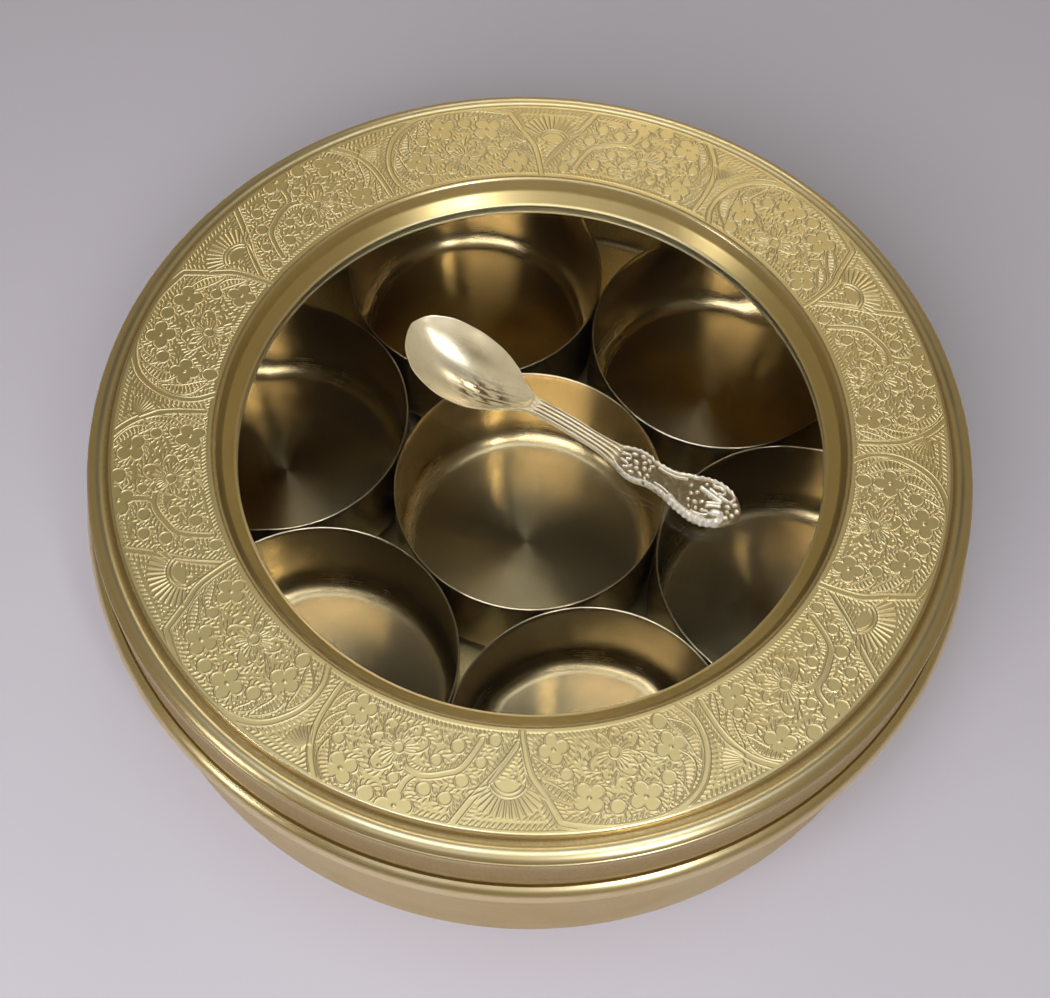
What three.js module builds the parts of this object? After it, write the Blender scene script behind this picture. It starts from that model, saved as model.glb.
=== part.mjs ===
import * as THREE from 'three';
import { ParametricGeometry } from 'three/addons/geometries/ParametricGeometry.js';

// Spice box (masala dabba) in millimetres, +Z up, standing on z = 0 and centred on the Z axis.
// A round sheet-brass box holds one cup in the middle and six around it. Its lid is a sheet-brass
// ring with a window, and a small spoon lies on the window's glass.

// Sheet stock and clearances
const sheet = 0.7;           // thickness of the box, lid and retaining ring
const cupSheet = 0.5;        // thickness of a cup
const restGap = 0.3;         // gap kept under a piece that rests on another
const stackGap = 0.1;        // gap between the layers clamped under the window's edge

// Cups
const cupRadius = 34.95;
const cupPitch = 70.2;       // from the centre cup's axis to each outer cup's axis
const cupRim = 32.0;         // height of the cup rims above the table
const cupCorner = 5.5;       // outside radius between a cup's floor and wall
const ringCups = 6;
const firstCupAngle = 44.8;  // degrees from +X

// Box
const boxRadius = 106.3;
const boxCorner = 3.0;
const boxRim = 55.5;
const beadRadius = 110.5;    // outside of the rolled bead that the lid sits on
const beadHeight = 42.4;     // height of the bead's middle
const beadRoll = 3.4;        // radius of the bead's round

// Lid
const lidRadius = 107.5;
const lidTop = 62.7;
const shoulderRoll = 1.9;    // radius of the roll round the lid's outer edge
const windowRadius = 72.1;
const windowEdge = 57.4;     // top of the narrow flange round the window
const flangeWidth = 1.1;
const ringInner = 77.4;      // the flat embossed ring
const ringOuter = 101.8;
const skirtGap = 0.3;        // between the bead and the skirt's lower edge

// Window stack, downwards from the flange: gasket, glass, retaining ring
const gasketThickness = 0.7;
const gasketWidth = 3.2;
const gasketSetBack = 0.3;   // of the gasket's inner edge from the flange's
const clampSetBack = 0.2;    // of the retaining ring's inner edge from the flange's
const clampRise = 2.4;       // height of the retaining ring's wall above the flange
const glassRadius = 75.8;
const glassThickness = 2.0;

// Spoon
const spoonLength = 95.3;
const spoonTip = new THREE.Vector2( - 31.7, 28.6 );  // under the tip of the bowl
const spoonTurn = - 30.25;   // degrees from +X to the handle's end
const spoonSag = 3.6;        // how far the spoon is bent sideways, off its straight line
const bowlLength = 38;
const bowlDepth = 4.9;
const spoonSheet = 1.3;      // thickness of the bowl

// Facets
const bigTurn = 48;          // round the box, lid and window pieces
const cupTurn = 24;          // round a cup
const spoonStations = 30;    // along the spoon
const spoonTurnSteps = 12;   // round the spoon's section

const radians = THREE.MathUtils.degToRad;

function metal( color, roughness ) {

	return new THREE.MeshStandardMaterial( { color, roughness, metalness: 1 } );

}

const satinBrass = metal( 0xc6ab62, 0.38 );
const innerBrass = metal( 0xa98f52, 0.3 );
const oldSilver = metal( 0xb9ad96, 0.3 );
const clearGlass = new THREE.MeshStandardMaterial( {
	color: 0xdfe6e4, roughness: 0.05, metalness: 0, transparent: true, opacity: 0.35,
} );
const blackRubber = new THREE.MeshStandardMaterial( { color: 0x23211f, roughness: 0.8, metalness: 0 } );

// A point of a section: radius from the Z axis, then height.
function at( radius, height ) {

	return new THREE.Vector2( radius, height );

}

// Points on an arc of a section, from one angle to another in degrees.
function arc( centre, radius, from, to, steps ) {

	const points = [];
	for ( let i = 0; i <= steps; i ++ ) {

		const angle = radians( from + ( to - from ) * i / steps );
		points.push( at( centre.x + radius * Math.cos( angle ), centre.y + radius * Math.sin( angle ) ) );

	}

	return points;

}

// The line at a constant distance to the left of an open line of points, with mitred corners.
function offsetLine( line, distance ) {

	return line.map( ( point, i ) => {

		const before = line[ Math.max( i - 1, 0 ) ];
		const after = line[ Math.min( i + 1, line.length - 1 ) ];
		const incoming = ( i > 0 ? point.clone().sub( before ) : after.clone().sub( point ) ).normalize();
		const outgoing = ( i < line.length - 1 ? after.clone().sub( point ) : incoming.clone() ).normalize();
		const normal = at( - incoming.y - outgoing.y, incoming.x + outgoing.x ).normalize();
		const mitre = distance / ( normal.x * - incoming.y + normal.y * incoming.x );
		return point.clone().addScaledVector( normal, mitre );

	} );

}

// A closed section turned about the Z axis.
function turned( section, steps ) {

	return new THREE.LatheGeometry( section, steps ).rotateX( Math.PI / 2 );

}

// Sheet metal that starts on the axis and follows an outer line to its free edge.
function vessel( outer, thickness, steps ) {

	const inner = offsetLine( outer, thickness ).reverse();
	inner[ inner.length - 1 ] = at( 0, outer[ 0 ].y + thickness );
	return turned( [ ...outer, ...inner ], steps );

}

// Sheet metal in the shape of a ring: both ends of its outer line are free edges.
function ringShell( outer, thickness, steps ) {

	const inner = offsetLine( outer, thickness ).reverse();
	return turned( [ ...outer, ...inner, outer[ 0 ].clone() ], steps );

}

// A ring or disc of rectangular section between two radii and two heights.
function washer( inner, outer, low, high, steps ) {

	const section = [ at( inner, low ), at( outer, low ), at( outer, high ), at( inner, high ) ];
	if ( inner > 0 ) section.push( at( inner, low ) );
	return turned( section, steps );

}

function named( name, geometry, material ) {

	const mesh = new THREE.Mesh( geometry, material );
	mesh.name = name;
	return mesh;

}

// The box: flat floor, rounded corner, plain wall, bead, and the neck that goes up inside the lid.
function makeBox() {

	const beadCentre = at( beadRadius - beadRoll, beadHeight );
	const beadReach = THREE.MathUtils.radToDeg( Math.acos( ( boxRadius - beadCentre.x ) / beadRoll ) );
	const outer = [
		at( 0, 0 ),
		...arc( at( boxRadius - boxCorner, boxCorner ), boxCorner, - 90, 0, 3 ),
		...arc( beadCentre, beadRoll, - beadReach, beadReach, 6 ),
		at( boxRadius, boxRim ),
	];
	return named( 'box_body', vessel( outer, sheet, bigTurn ), satinBrass );

}

// The lid, from the skirt's lower edge up over the shoulder roll, across the embossed ring and
// down the bevel to the flange round the window.
function makeLidCover() {

	const skirtEdge = beadHeight + beadRoll + skirtGap;
	const outer = [
		at( lidRadius, skirtEdge ),
		at( lidRadius, lidTop - 3.8 ),
		at( lidRadius - 0.4, lidTop - 3.0 ),
		at( lidRadius - 1.2, lidTop - 2.2 ),
		...arc( at( ringOuter + 2.8, lidTop - 1.4 - shoulderRoll ), shoulderRoll, 60, 125, 3 ),
		at( ringOuter + 0.8, lidTop - 1.0 ),
		at( ringOuter, lidTop ),
		at( ringInner, lidTop ),
		at( ringInner - 0.8, lidTop - 0.6 ),
		at( windowRadius + flangeWidth, windowEdge ),
		at( windowRadius, windowEdge ),
	];
	return named( 'lid_cover', ringShell( outer, sheet, bigTurn ), satinBrass );

}

// The gasket, glass and retaining ring that close the window from below.
function makeWindow() {

	const gasketTop = windowEdge - sheet - stackGap;
	const glassTop = gasketTop - gasketThickness - stackGap;
	const ringTop = glassTop - glassThickness - stackGap;
	const gasketInner = windowRadius + gasketSetBack;
	const clampInner = windowRadius + clampSetBack;
	const wallInner = glassRadius + restGap;
	const wallTop = windowEdge + clampRise;
	const ringSection = [
		at( clampInner, ringTop - sheet ),
		at( wallInner + sheet, ringTop - sheet ),
		at( wallInner + sheet, wallTop ),
		at( wallInner, wallTop ),
		at( wallInner, ringTop ),
		at( clampInner, ringTop ),
		at( clampInner, ringTop - sheet ),
	];
	const gasket = washer( gasketInner, gasketInner + gasketWidth, gasketTop - gasketThickness, gasketTop, bigTurn );
	return {
		glassTop,
		pieces: [
			named( 'window_gasket', gasket, blackRubber ),
			named( 'window_glass', washer( 0, glassRadius, glassTop - glassThickness, glassTop, bigTurn ), clearGlass ),
			named( 'retaining_ring', turned( ringSection, bigTurn ), satinBrass ),
		],
	};

}

// One cup, standing on the box's floor.
function makeCup( name, x, y ) {

	const foot = sheet + restGap;
	const outer = [
		at( 0, foot ),
		...arc( at( cupRadius - cupCorner, foot + cupCorner ), cupCorner, - 90, 0, 4 ),
		at( cupRadius, cupRim ),
	];
	const cup = named( name, vessel( outer, cupSheet, cupTurn ), innerBrass );
	cup.position.set( x, y, 0 );
	return cup;

}

function makeCups() {

	const cups = [ makeCup( 'cup_center', 0, 0 ) ];
	for ( let i = 0; i < ringCups; i ++ ) {

		const angle = radians( firstCupAngle + i * 360 / ringCups );
		cups.push( makeCup( `cup_${ i + 1 }`, cupPitch * Math.cos( angle ), cupPitch * Math.sin( angle ) ) );

	}

	return cups;

}

// A smooth value along the spoon from a short list of [ distance from the tip, value ].
function along( stations ) {

	const curve = new THREE.SplineCurve( stations.map( ( [ distance, value ] ) => at( distance, value ) ) );
	return ( distance ) => {

		let low = 0;
		let high = 1;
		for ( let i = 0; i < 30; i ++ ) {

			const middle = ( low + high ) / 2;
			if ( curve.getPoint( middle ).x < distance ) low = middle;
			else high = middle;

		}

		return curve.getPoint( ( low + high ) / 2 ).y;

	};

}

// The spoon: bowl, fluted shank and broad scrolled end, as one closed surface. At each distance from
// the tip it has a half width, a height above the glass and a thickness, and the bowl is dished.
function makeSpoon( glassTop ) {

	const halfWidth = along( [
		[ 0, 0 ], [ 2, 5.1 ], [ 5.4, 7.9 ], [ 9, 9.6 ], [ 15, 10.6 ], [ 20, 10.4 ], [ 25, 9.3 ], [ 30, 7.0 ],
		[ 34, 4.3 ], [ 38.5, 2.3 ], [ 48, 2.1 ], [ 57, 2.1 ], [ 62, 2.8 ], [ 66, 4.1 ], [ 69, 4.2 ],
		[ 72.5, 3.5 ], [ 76, 3.9 ], [ 81, 5.5 ], [ 86, 6.5 ], [ 90, 5.7 ], [ 93, 3.7 ], [ 95.3, 0 ],
	] );
	const height = along( [
		[ 0, 5.9 ], [ 19, 5.9 ], [ 38, 7.1 ], [ 48, 7.0 ], [ 57, 5.6 ], [ 66, 3.6 ], [ 80, 2.1 ], [ 95.3, 1.6 ],
	] );
	const thickness = along( [
		[ 0, spoonSheet ], [ 30, spoonSheet ], [ 40, 2.4 ], [ 60, 2.4 ], [ 80, 2.2 ], [ 95.3, 1.8 ],
	] );
	const turn = radians( spoonTurn );

	function surface( u, v, target ) {

		const distance = spoonLength * ( 1 - Math.cos( Math.PI * u ) ) / 2;
		const around = - 2 * Math.PI * v;
		const ends = u === 0 || u === 1;
		const width = ends ? 0 : Math.max( halfWidth( distance ), 0.2 );
		const share = Math.min( distance / bowlLength, 1 );
		const dish = bowlDepth * Math.sin( Math.PI * share ) ** 0.7 * Math.sin( around ) ** 2;
		const half = ends ? 0 : thickness( distance ) / 2;
		const side = width * Math.cos( around ) - spoonSag * Math.sin( Math.PI * ( distance / spoonLength ) ** 0.75 );
		target.set(
			spoonTip.x + distance * Math.cos( turn ) - side * Math.sin( turn ),
			spoonTip.y + distance * Math.sin( turn ) + side * Math.cos( turn ),
			glassTop + height( distance ) - dish + half * Math.sin( around ),
		);

	}

	return named( 'spoon', new ParametricGeometry( surface, spoonStations, spoonTurnSteps ), oldSilver );

}

const windowStack = makeWindow();
const spiceBox = new THREE.Group();
spiceBox.add( makeBox(), makeLidCover(), ...windowStack.pieces, ...makeCups(), makeSpoon( windowStack.glassTop ) );

export default spiceBox;
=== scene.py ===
import math
import bpy
import numpy as np
from mathutils import Matrix, Vector


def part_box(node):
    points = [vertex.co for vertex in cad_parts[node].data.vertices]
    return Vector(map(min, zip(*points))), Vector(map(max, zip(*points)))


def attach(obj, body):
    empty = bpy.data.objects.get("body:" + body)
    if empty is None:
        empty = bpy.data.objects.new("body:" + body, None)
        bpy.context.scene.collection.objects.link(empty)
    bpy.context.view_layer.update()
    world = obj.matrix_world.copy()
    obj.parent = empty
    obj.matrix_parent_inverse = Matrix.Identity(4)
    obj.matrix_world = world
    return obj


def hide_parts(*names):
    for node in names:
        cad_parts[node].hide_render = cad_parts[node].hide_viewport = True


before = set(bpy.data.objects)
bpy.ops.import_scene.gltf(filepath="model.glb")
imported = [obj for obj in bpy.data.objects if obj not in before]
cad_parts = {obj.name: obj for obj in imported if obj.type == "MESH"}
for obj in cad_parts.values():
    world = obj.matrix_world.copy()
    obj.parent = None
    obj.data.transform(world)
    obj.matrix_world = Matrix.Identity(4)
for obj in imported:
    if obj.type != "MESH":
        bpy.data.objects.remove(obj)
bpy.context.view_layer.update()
mm = 0.001  # every size below is in millimetres times this
print("frame loaded")


# What a CAD node measures, in millimetres: its middle, widest radius, lowest and highest point.
def spanOf(node):
    low, high = (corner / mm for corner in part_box(node))
    return {
        "middle": ((low.x + high.x) / 2, (low.y + high.y) / 2),
        "radius": (high.x - low.x) / 2,
        "low": low.z,
        "high": high.z,
    }


# ---- shader helpers

# A node with its properties set. An input given as a socket is linked, any other is a plain value.
def addNode(tree, kind, inputs=None, **properties):
    node = tree.nodes.new(kind)
    for name, value in properties.items():
        setattr(node, name, value)
    for name, value in (inputs or {}).items():
        if isinstance(value, bpy.types.NodeSocket):
            tree.links.new(value, node.inputs[name])
        else:
            node.inputs[name].default_value = value
    return node


def compute(tree, operation, first, second=0.0, clamp=False):
    node = addNode(tree, "ShaderNodeMath", {0: first, 1: second}, operation=operation, use_clamp=clamp)
    return node.outputs[0]


def mixColors(tree, factor, first, second, blend="MIX"):
    inputs = {0: factor, 6: first, 7: second}
    node = addNode(tree, "ShaderNodeMix", inputs, data_type="RGBA", blend_type=blend)
    return node.outputs[2]


def mapRange(tree, value, low, high, toLow=0.0, toHigh=1.0):
    inputs = {"Value": value, "From Min": low, "From Max": high, "To Min": toLow, "To Max": toHigh}
    return addNode(tree, "ShaderNodeMapRange", inputs, interpolation_type="SMOOTHSTEP").outputs[0]


def noise(tree, vector, scale, detail=3.0, roughness=0.55, distortion=0.0):
    inputs = {"Vector": vector, "Scale": scale, "Detail": detail, "Roughness": roughness,
              "Distortion": distortion}
    return addNode(tree, "ShaderNodeTexNoise", inputs).outputs[0]


# ---- camera, floor and light

view = {
    "lens": 57.28,  # on a 36 mm wide sensor
    "distance": 409.3,  # from the camera to the point that it is turned about
    "elevation": 61.42,  # degrees above the floor
    "roll": 3.01,  # degrees, the right side goes down
    "aim": (-0.99, -13.03, 50),
}

studio = {
    "floorSize": 9.0,
    "floorColor": (0.415, 0.40, 0.45),
    "worldColor": (0.61, 0.50, 0.30),
    "worldStrength": 0.36,
    # azimuth, elevation, outer and inner reach in degrees, colour
    "darkWall": (90, 60, 22, 13, (0.05, 0.045, 0.04)),
    # azimuth, elevation, distance, width, height, power, colour, and whether metal and glass mirror it
    "lamps": {
        "ceiling": (88, 88, 1.3, 0.62, 0.46, 3.0, (0.80, 0.88, 1.0), True),
        "frontSky": (-92, 56, 1.3, 0.9, 0.4, 0.9, (0.82, 0.87, 1.0), True),
        "backGlow": (84, 40, 1.5, 0.6, 0.28, 1.9, (1.0, 0.94, 0.84), True),
        "windowRight": (-60, 52, 1.25, 0.08, 0.36, 2.4, (1.0, 0.99, 0.97), True),
        "windowLeft": (-147, 36, 1.3, 0.14, 0.28, 1.1, (1.0, 0.985, 0.95), True),
        "floorFill": (-106, 48, 0.65, 0.42, 0.42, 4.2, (1.0, 0.975, 1.0), False),
    },
}


# The camera stands on a sphere round its aim point and is rolled about its own line of sight.
def makeCamera():
    tilt, roll = math.radians(view["elevation"]), math.radians(view["roll"])
    back = Vector((0, -math.cos(tilt), math.sin(tilt)))
    right = Vector((1, 0, 0))
    up = back.cross(right)
    turnedRight = right * math.cos(roll) + up * math.sin(roll)
    turnedUp = up * math.cos(roll) - right * math.sin(roll)
    position = (Vector(view["aim"]) + back * view["distance"]) * mm
    data = bpy.data.cameras.new("camera")
    data.sensor_width = 36
    data.lens = view["lens"]
    data.clip_start = 0.01
    camera = bpy.data.objects.new("camera", data)
    camera.matrix_world = Matrix([
        (turnedRight[row], turnedUp[row], back[row], position[row]) for row in range(3)
    ] + [(0, 0, 0, 1)])
    bpy.context.scene.collection.objects.link(camera)
    bpy.context.scene.camera = camera


# Each lamp is an area light on a sphere round the box, turned to face it.
def makeLamps():
    for name, setting in studio["lamps"].items():
        azimuth, elevation, distance, width, height, power, color, mirrored = setting
        a, e = math.radians(azimuth), math.radians(elevation)
        out = Vector((math.cos(a) * math.cos(e), math.sin(a) * math.cos(e), math.sin(e)))
        data = bpy.data.lights.new(name, "AREA")
        data.shape = "RECTANGLE"
        data.size, data.size_y = width, height
        data.energy = power
        data.color = color
        lamp = bpy.data.objects.new(name, data)
        lamp.visible_glossy = mirrored
        lamp.location = out * distance
        lamp.rotation_euler = out.to_track_quat("Z", "Y").to_euler()
        bpy.context.scene.collection.objects.link(lamp)


# An even warm room with one dark stretch of wall, which the glass mirrors.
def makeWorld():
    world = bpy.data.worlds.new("studio")
    world.use_nodes = True
    tree = world.node_tree
    background = tree.nodes["Background"]
    azimuth, elevation, outer, inner, dark = studio["darkWall"]
    a, e = math.radians(azimuth), math.radians(elevation)
    direction = (math.cos(a) * math.cos(e), math.sin(a) * math.cos(e), math.sin(e))
    where = addNode(tree, "ShaderNodeTexCoord").outputs["Generated"]
    product = addNode(tree, "ShaderNodeVectorMath", {0: where, 1: direction}, operation="DOT_PRODUCT")
    dot = product.outputs["Value"]
    share = mapRange(tree, dot, math.cos(math.radians(outer)), math.cos(math.radians(inner)))
    color = mixColors(tree, share, (*studio["worldColor"], 1), (*dark, 1))
    tree.links.new(color, background.inputs["Color"])
    background.inputs["Strength"].default_value = studio["worldStrength"]
    bpy.context.scene.world = world


makeCamera()
makeLamps()
makeWorld()
bpy.context.scene.view_settings.view_transform = "Standard"
print("camera and lights made")


# ---- finishes

def makeGroup(name, inputs, outputs):
    group = bpy.data.node_groups.new(name, "ShaderNodeTree")
    for label, kind, value in inputs:
        socket = group.interface.new_socket(label, in_out="INPUT", socket_type=kind)
        if value is not None:
            socket.default_value = value
    for label, kind in outputs:
        group.interface.new_socket(label, in_out="OUTPUT", socket_type=kind)
    return group, group.nodes.new("NodeGroupInput").outputs, group.nodes.new("NodeGroupOutput").inputs


# Metal spun or rolled on a lathe: rings of grain that depend on radius and height only, slow blotches
# of tarnish, brighter worn edges, and grime and painted shade that darken creases.
def makeSpunMetal():
    group, given, result = makeGroup("spunMetal", [
        ("Vector", "NodeSocketVector", None),
        ("Worn", "NodeSocketFloat", 0.0),
        ("GrimeAndShade", "NodeSocketFloat", 0.0),
        ("Color", "NodeSocketColor", (0.8, 0.65, 0.3, 1)),
        ("Tarnish", "NodeSocketColor", (0.6, 0.45, 0.2, 1)),
        ("Bright", "NodeSocketColor", (0.95, 0.85, 0.55, 1)),
        ("Dirt", "NodeSocketColor", (0.2, 0.14, 0.07, 1)),
        ("Roughness", "NodeSocketFloat", 0.35),
        ("Spread", "NodeSocketFloat", 0.1),
        ("Fineness", "NodeSocketFloat", 2500.0),
        ("Lines", "NodeSocketFloat", 0.5),
        ("Blotches", "NodeSocketFloat", 0.5),
        ("Wear", "NodeSocketFloat", 0.5),
        ("Dullness", "NodeSocketFloat", 0.2),
    ], [
        ("Color", "NodeSocketColor"),
        ("Roughness", "NodeSocketFloat"),
        ("Height", "NodeSocketFloat"),
    ])
    parts = addNode(group, "ShaderNodeSeparateXYZ", {0: given["Vector"]}).outputs
    squared = compute(group, "ADD", compute(group, "MULTIPLY", parts[0], parts[0]),
                      compute(group, "MULTIPLY", parts[1], parts[1]))
    radius = compute(group, "SQRT", squared)
    section = addNode(group, "ShaderNodeCombineXYZ", {0: radius, 1: parts[2]}).outputs[0]
    drift = addNode(group, "ShaderNodeVectorMath", {0: given["Vector"], "Scale": 0.004}, operation="SCALE")
    along = addNode(group, "ShaderNodeVectorMath", {0: section, 1: drift.outputs[0]}, operation="ADD")
    rings = noise(group, along.outputs[0], given["Fineness"], 4.0, 0.65)
    wide = noise(group, section, compute(group, "MULTIPLY", given["Fineness"], 0.12), 2.0)
    pits = noise(group, given["Vector"], 1600.0, 2.0, 0.6)
    blotch = noise(group, given["Vector"], 32.0, 5.0, 0.6, 0.6)
    patches = compute(group, "MULTIPLY", mapRange(group, blotch, 0.42, 0.68), given["Blotches"])
    lines = compute(group, "MULTIPLY", compute(group, "SUBTRACT", rings, 0.5), given["Lines"])
    broad = compute(group, "MULTIPLY", compute(group, "SUBTRACT", wide, 0.5), given["Lines"])
    color = mixColors(group, patches, given["Color"], given["Tarnish"])
    allLines = compute(group, "ADD", lines, compute(group, "MULTIPLY", broad, 0.7))
    lineFactor = mapRange(group, allLines, -0.22, 0.22)
    color = mixColors(group, compute(group, "MULTIPLY", lineFactor, 0.22), color, given["Tarnish"])
    wornFactor = compute(group, "MULTIPLY", given["Worn"], mapRange(group, blotch, 0.75, 0.35, 0.35, 1.0))
    color = mixColors(group, compute(group, "MULTIPLY", wornFactor, given["Wear"]), color, given["Bright"])
    # grime and painted shade: concave places and painted shade darken towards the dirt colour
    dirtAndShadeFactor = compute(group, "MULTIPLY", given["GrimeAndShade"], mapRange(group, pits, 0.25, 0.6, 0.75, 1.0))
    color = mixColors(group, dirtAndShadeFactor, color, given["Dirt"])
    group.links.new(color, result["Color"])
    rough = compute(group, "ADD", given["Roughness"], compute(group, "MULTIPLY", lines, given["Spread"]))
    patchSpread = compute(group, "MULTIPLY", patches, compute(group, "MULTIPLY", given["Spread"], 0.6))
    rough = compute(group, "ADD", rough, patchSpread)
    rough = compute(group, "SUBTRACT", rough, compute(group, "MULTIPLY", wornFactor, 0.06))
    rough = compute(group, "ADD", rough, compute(group, "MULTIPLY", dirtAndShadeFactor, given["Dullness"]), True)
    group.links.new(rough, result["Roughness"])
    height = compute(group, "MULTIPLY", lines, 0.8)
    height = compute(group, "ADD", height, compute(group, "MULTIPLY", pits, 0.12))
    group.links.new(height, result["Height"])
    return group


spunMetal = makeSpunMetal()


def emptyMaterial(name):
    material = bpy.data.materials.new(name)
    material.use_nodes = True
    tree = material.node_tree
    return material, tree, tree.nodes["Principled BSDF"]


# A material with the spunMetal group, centred on its own axis.
def makeSpun(name, finish, centre=(0, 0)):
    material, tree, shader = emptyMaterial(name)
    where = addNode(tree, "ShaderNodeTexCoord").outputs["Object"]
    offset = (-centre[0] * mm, -centre[1] * mm, 0)
    centred = addNode(tree, "ShaderNodeMapping", {"Vector": where, "Location": offset}).outputs[0]
    worn = addNode(tree, "ShaderNodeAttribute", attribute_name="worn").outputs["Fac"]
    grimeAndShade = addNode(tree, "ShaderNodeAttribute", attribute_name="grimeAndShade").outputs["Fac"]
    group = addNode(tree, "ShaderNodeGroup", node_tree=spunMetal)
    tree.links.new(centred, group.inputs["Vector"])
    tree.links.new(worn, group.inputs["Worn"])
    tree.links.new(grimeAndShade, group.inputs["GrimeAndShade"])
    for label in ("Color", "Tarnish", "Bright", "Dirt"):
        group.inputs[label].default_value = (*finish[label[0].lower() + label[1:]], 1)
    for label in ("Roughness", "Spread", "Fineness", "Lines", "Blotches", "Wear", "Dullness"):
        group.inputs[label].default_value = finish[label.lower()]
    tree.links.new(group.outputs["Color"], shader.inputs["Base Color"])
    tree.links.new(group.outputs["Roughness"], shader.inputs["Roughness"])
    bump = addNode(tree, "ShaderNodeBump", {"Height": group.outputs["Height"], "Strength": finish["bump"],
                                            "Distance": 0.0001})
    tree.links.new(bump.outputs[0], shader.inputs["Normal"])
    shader.inputs["Metallic"].default_value = 1
    if finish["brushed"]:
        tangent = addNode(tree, "ShaderNodeTangent", direction_type="UV_MAP", uv_map="turn")
        tree.links.new(tangent.outputs[0], shader.inputs["Tangent"])
        shader.inputs["Anisotropic"].default_value = finish["brushed"]
        shader.inputs["Anisotropic Rotation"].default_value = 0.25
    return material


# ---- mesh helpers: sizes are millimetres until a mesh is made

# A mesh from points, an n by 3 array, and polygons in groups of one corner count each.
def makePiece(name, points, groups, material, smooth=None):
    corners = np.concatenate([group.ravel() for group in groups]).astype(np.int32)
    counts = np.concatenate([np.full(len(group), group.shape[1]) for group in groups])
    mesh = bpy.data.meshes.new(name)
    mesh.vertices.add(len(points))
    mesh.vertices.foreach_set("co", (points * mm).astype(np.float32).ravel())
    mesh.loops.add(len(corners))
    mesh.loops.foreach_set("vertex_index", corners)
    mesh.polygons.add(len(counts))
    mesh.polygons.foreach_set("loop_start", (np.cumsum(counts) - counts).astype(np.int32))
    mesh.polygons.foreach_set("use_smooth", np.ones(len(counts), bool) if smooth is None else smooth)
    mesh.update(calc_edges=True)
    mesh.materials.append(material)
    piece = bpy.data.objects.new(name, mesh)
    bpy.context.scene.collection.objects.link(piece)
    return piece


def setAttribute(piece, name, values):
    layer = piece.data.attributes.new(name, "FLOAT", "POINT")
    layer.data.foreach_set("value", np.asarray(values, np.float32).ravel())


def setUv(piece, u, v):
    layer = piece.data.uv_layers.new(name="turn")
    layer.data.foreach_set("uv", np.column_stack([u.ravel(), v.ravel()]).astype(np.float32).ravel())


# 0 up to low, 1 from high, and a smooth cubic step between.
def ease(value, low, high):
    t = np.clip((value - low) / (high - low), 0, 1)
    return t * t * (3 - 2 * t)


# Points of a section on an arc, from one angle to another in degrees: radius, then height.
def arc(centre, radius, start, stop, steps):
    angle = np.radians(np.linspace(start, stop, steps + 1))
    return np.column_stack([centre[0] + radius * np.cos(angle), centre[1] + radius * np.sin(angle)])


# A line through corners (radius, height, round): each corner's arc touches both straight stretches, and
# its centre is on the corner's bisector at round / sin(half the corner's angle).
def roundedLine(corners, steps=8):
    points = np.array([corner[:2] for corner in corners], float)
    line = [points[:1]]
    for i in range(1, len(points) - 1):
        rounding = corners[i][2] if len(corners[i]) > 2 else 0
        arms = np.array([points[i - 1], points[i + 1]]) - points[i]
        arms /= np.linalg.norm(arms, axis=1)[:, None]
        half = math.acos(np.clip(arms[0] @ arms[1], -1, 1)) / 2
        if rounding == 0 or half > math.radians(89):
            line.append(points[i : i + 1])
            continue
        bisector = arms.sum(axis=0) / np.linalg.norm(arms.sum(axis=0))
        centre = points[i] + bisector * rounding / math.sin(half)
        start, stop = points[i] + arms * rounding / math.tan(half) - centre
        first = math.atan2(start[1], start[0])
        sweep = (math.atan2(stop[1], stop[0]) - first + math.pi) % (2 * math.pi) - math.pi
        angle = first + sweep * np.linspace(0, 1, steps + 1)
        line.append(centre + rounding * np.column_stack([np.cos(angle), np.sin(angle)]))
    line.append(points[-1:])
    return np.concatenate(line)


# The same line with points no further apart than a step.
def resampled(line, step):
    stretches = []
    for start, stop in zip(line[:-1], line[1:]):
        count = max(1, math.ceil(np.linalg.norm(stop - start) / step))
        stretches.append(start + (stop - start) * np.arange(count)[:, None] / count)
    stretches.append(line[-1:])
    return np.concatenate(stretches)


# The line moved to its left by a distance, along its own normals.
def besideLine(line, distance):
    tangent = np.gradient(line, axis=0)
    tangent /= np.linalg.norm(tangent, axis=1)[:, None]
    return line + distance * np.column_stack([-tangent[:, 1], tangent[:, 0]])


# The cut edge of a sheet, half a turn from the end of one side to the start of the other.
def cutEdge(start, stop, steps=6):
    centre, arm = (start + stop) / 2, (start - stop) / 2
    angle = np.linspace(0, math.pi, steps + 1)[1:-1]
    return centre + np.column_stack([
        arm[0] * np.cos(angle) - arm[1] * np.sin(angle),
        arm[0] * np.sin(angle) + arm[1] * np.cos(angle),
    ])


# A vessel's section: the outer line from the axis to the rim, the cut edge, and the inner line back.
def vesselSection(outer, thickness):
    inner = besideLine(outer, thickness)[::-1]
    inner[-1] = (0, outer[0, 1] + thickness)
    return np.concatenate([outer, cutEdge(outer[-1], inner[0]), inner])


# How sharply a section turns at each point, in 1/mm, positive where it is convex, evened out along it.
def curvatureOf(section, closed):
    before = section - np.roll(section, 1, axis=0)
    after = np.roll(section, -1, axis=0) - section
    lengthBefore, lengthAfter = np.linalg.norm(before, axis=1), np.linalg.norm(after, axis=1)
    cross = before[:, 0] * after[:, 1] - before[:, 1] * after[:, 0]
    turn = np.arctan2(cross, (before * after).sum(axis=1))
    if not closed:
        turn[[0, -1]] = 0
    along = np.cumsum(lengthBefore) - lengthBefore[0]
    reach = np.exp(-((along[:, None] - along) / 0.45) ** 2)
    span = (lengthBefore + lengthAfter) / 2
    return (reach * turn).sum(axis=1) / np.maximum((reach * span).sum(axis=1), 0.3)
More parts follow.
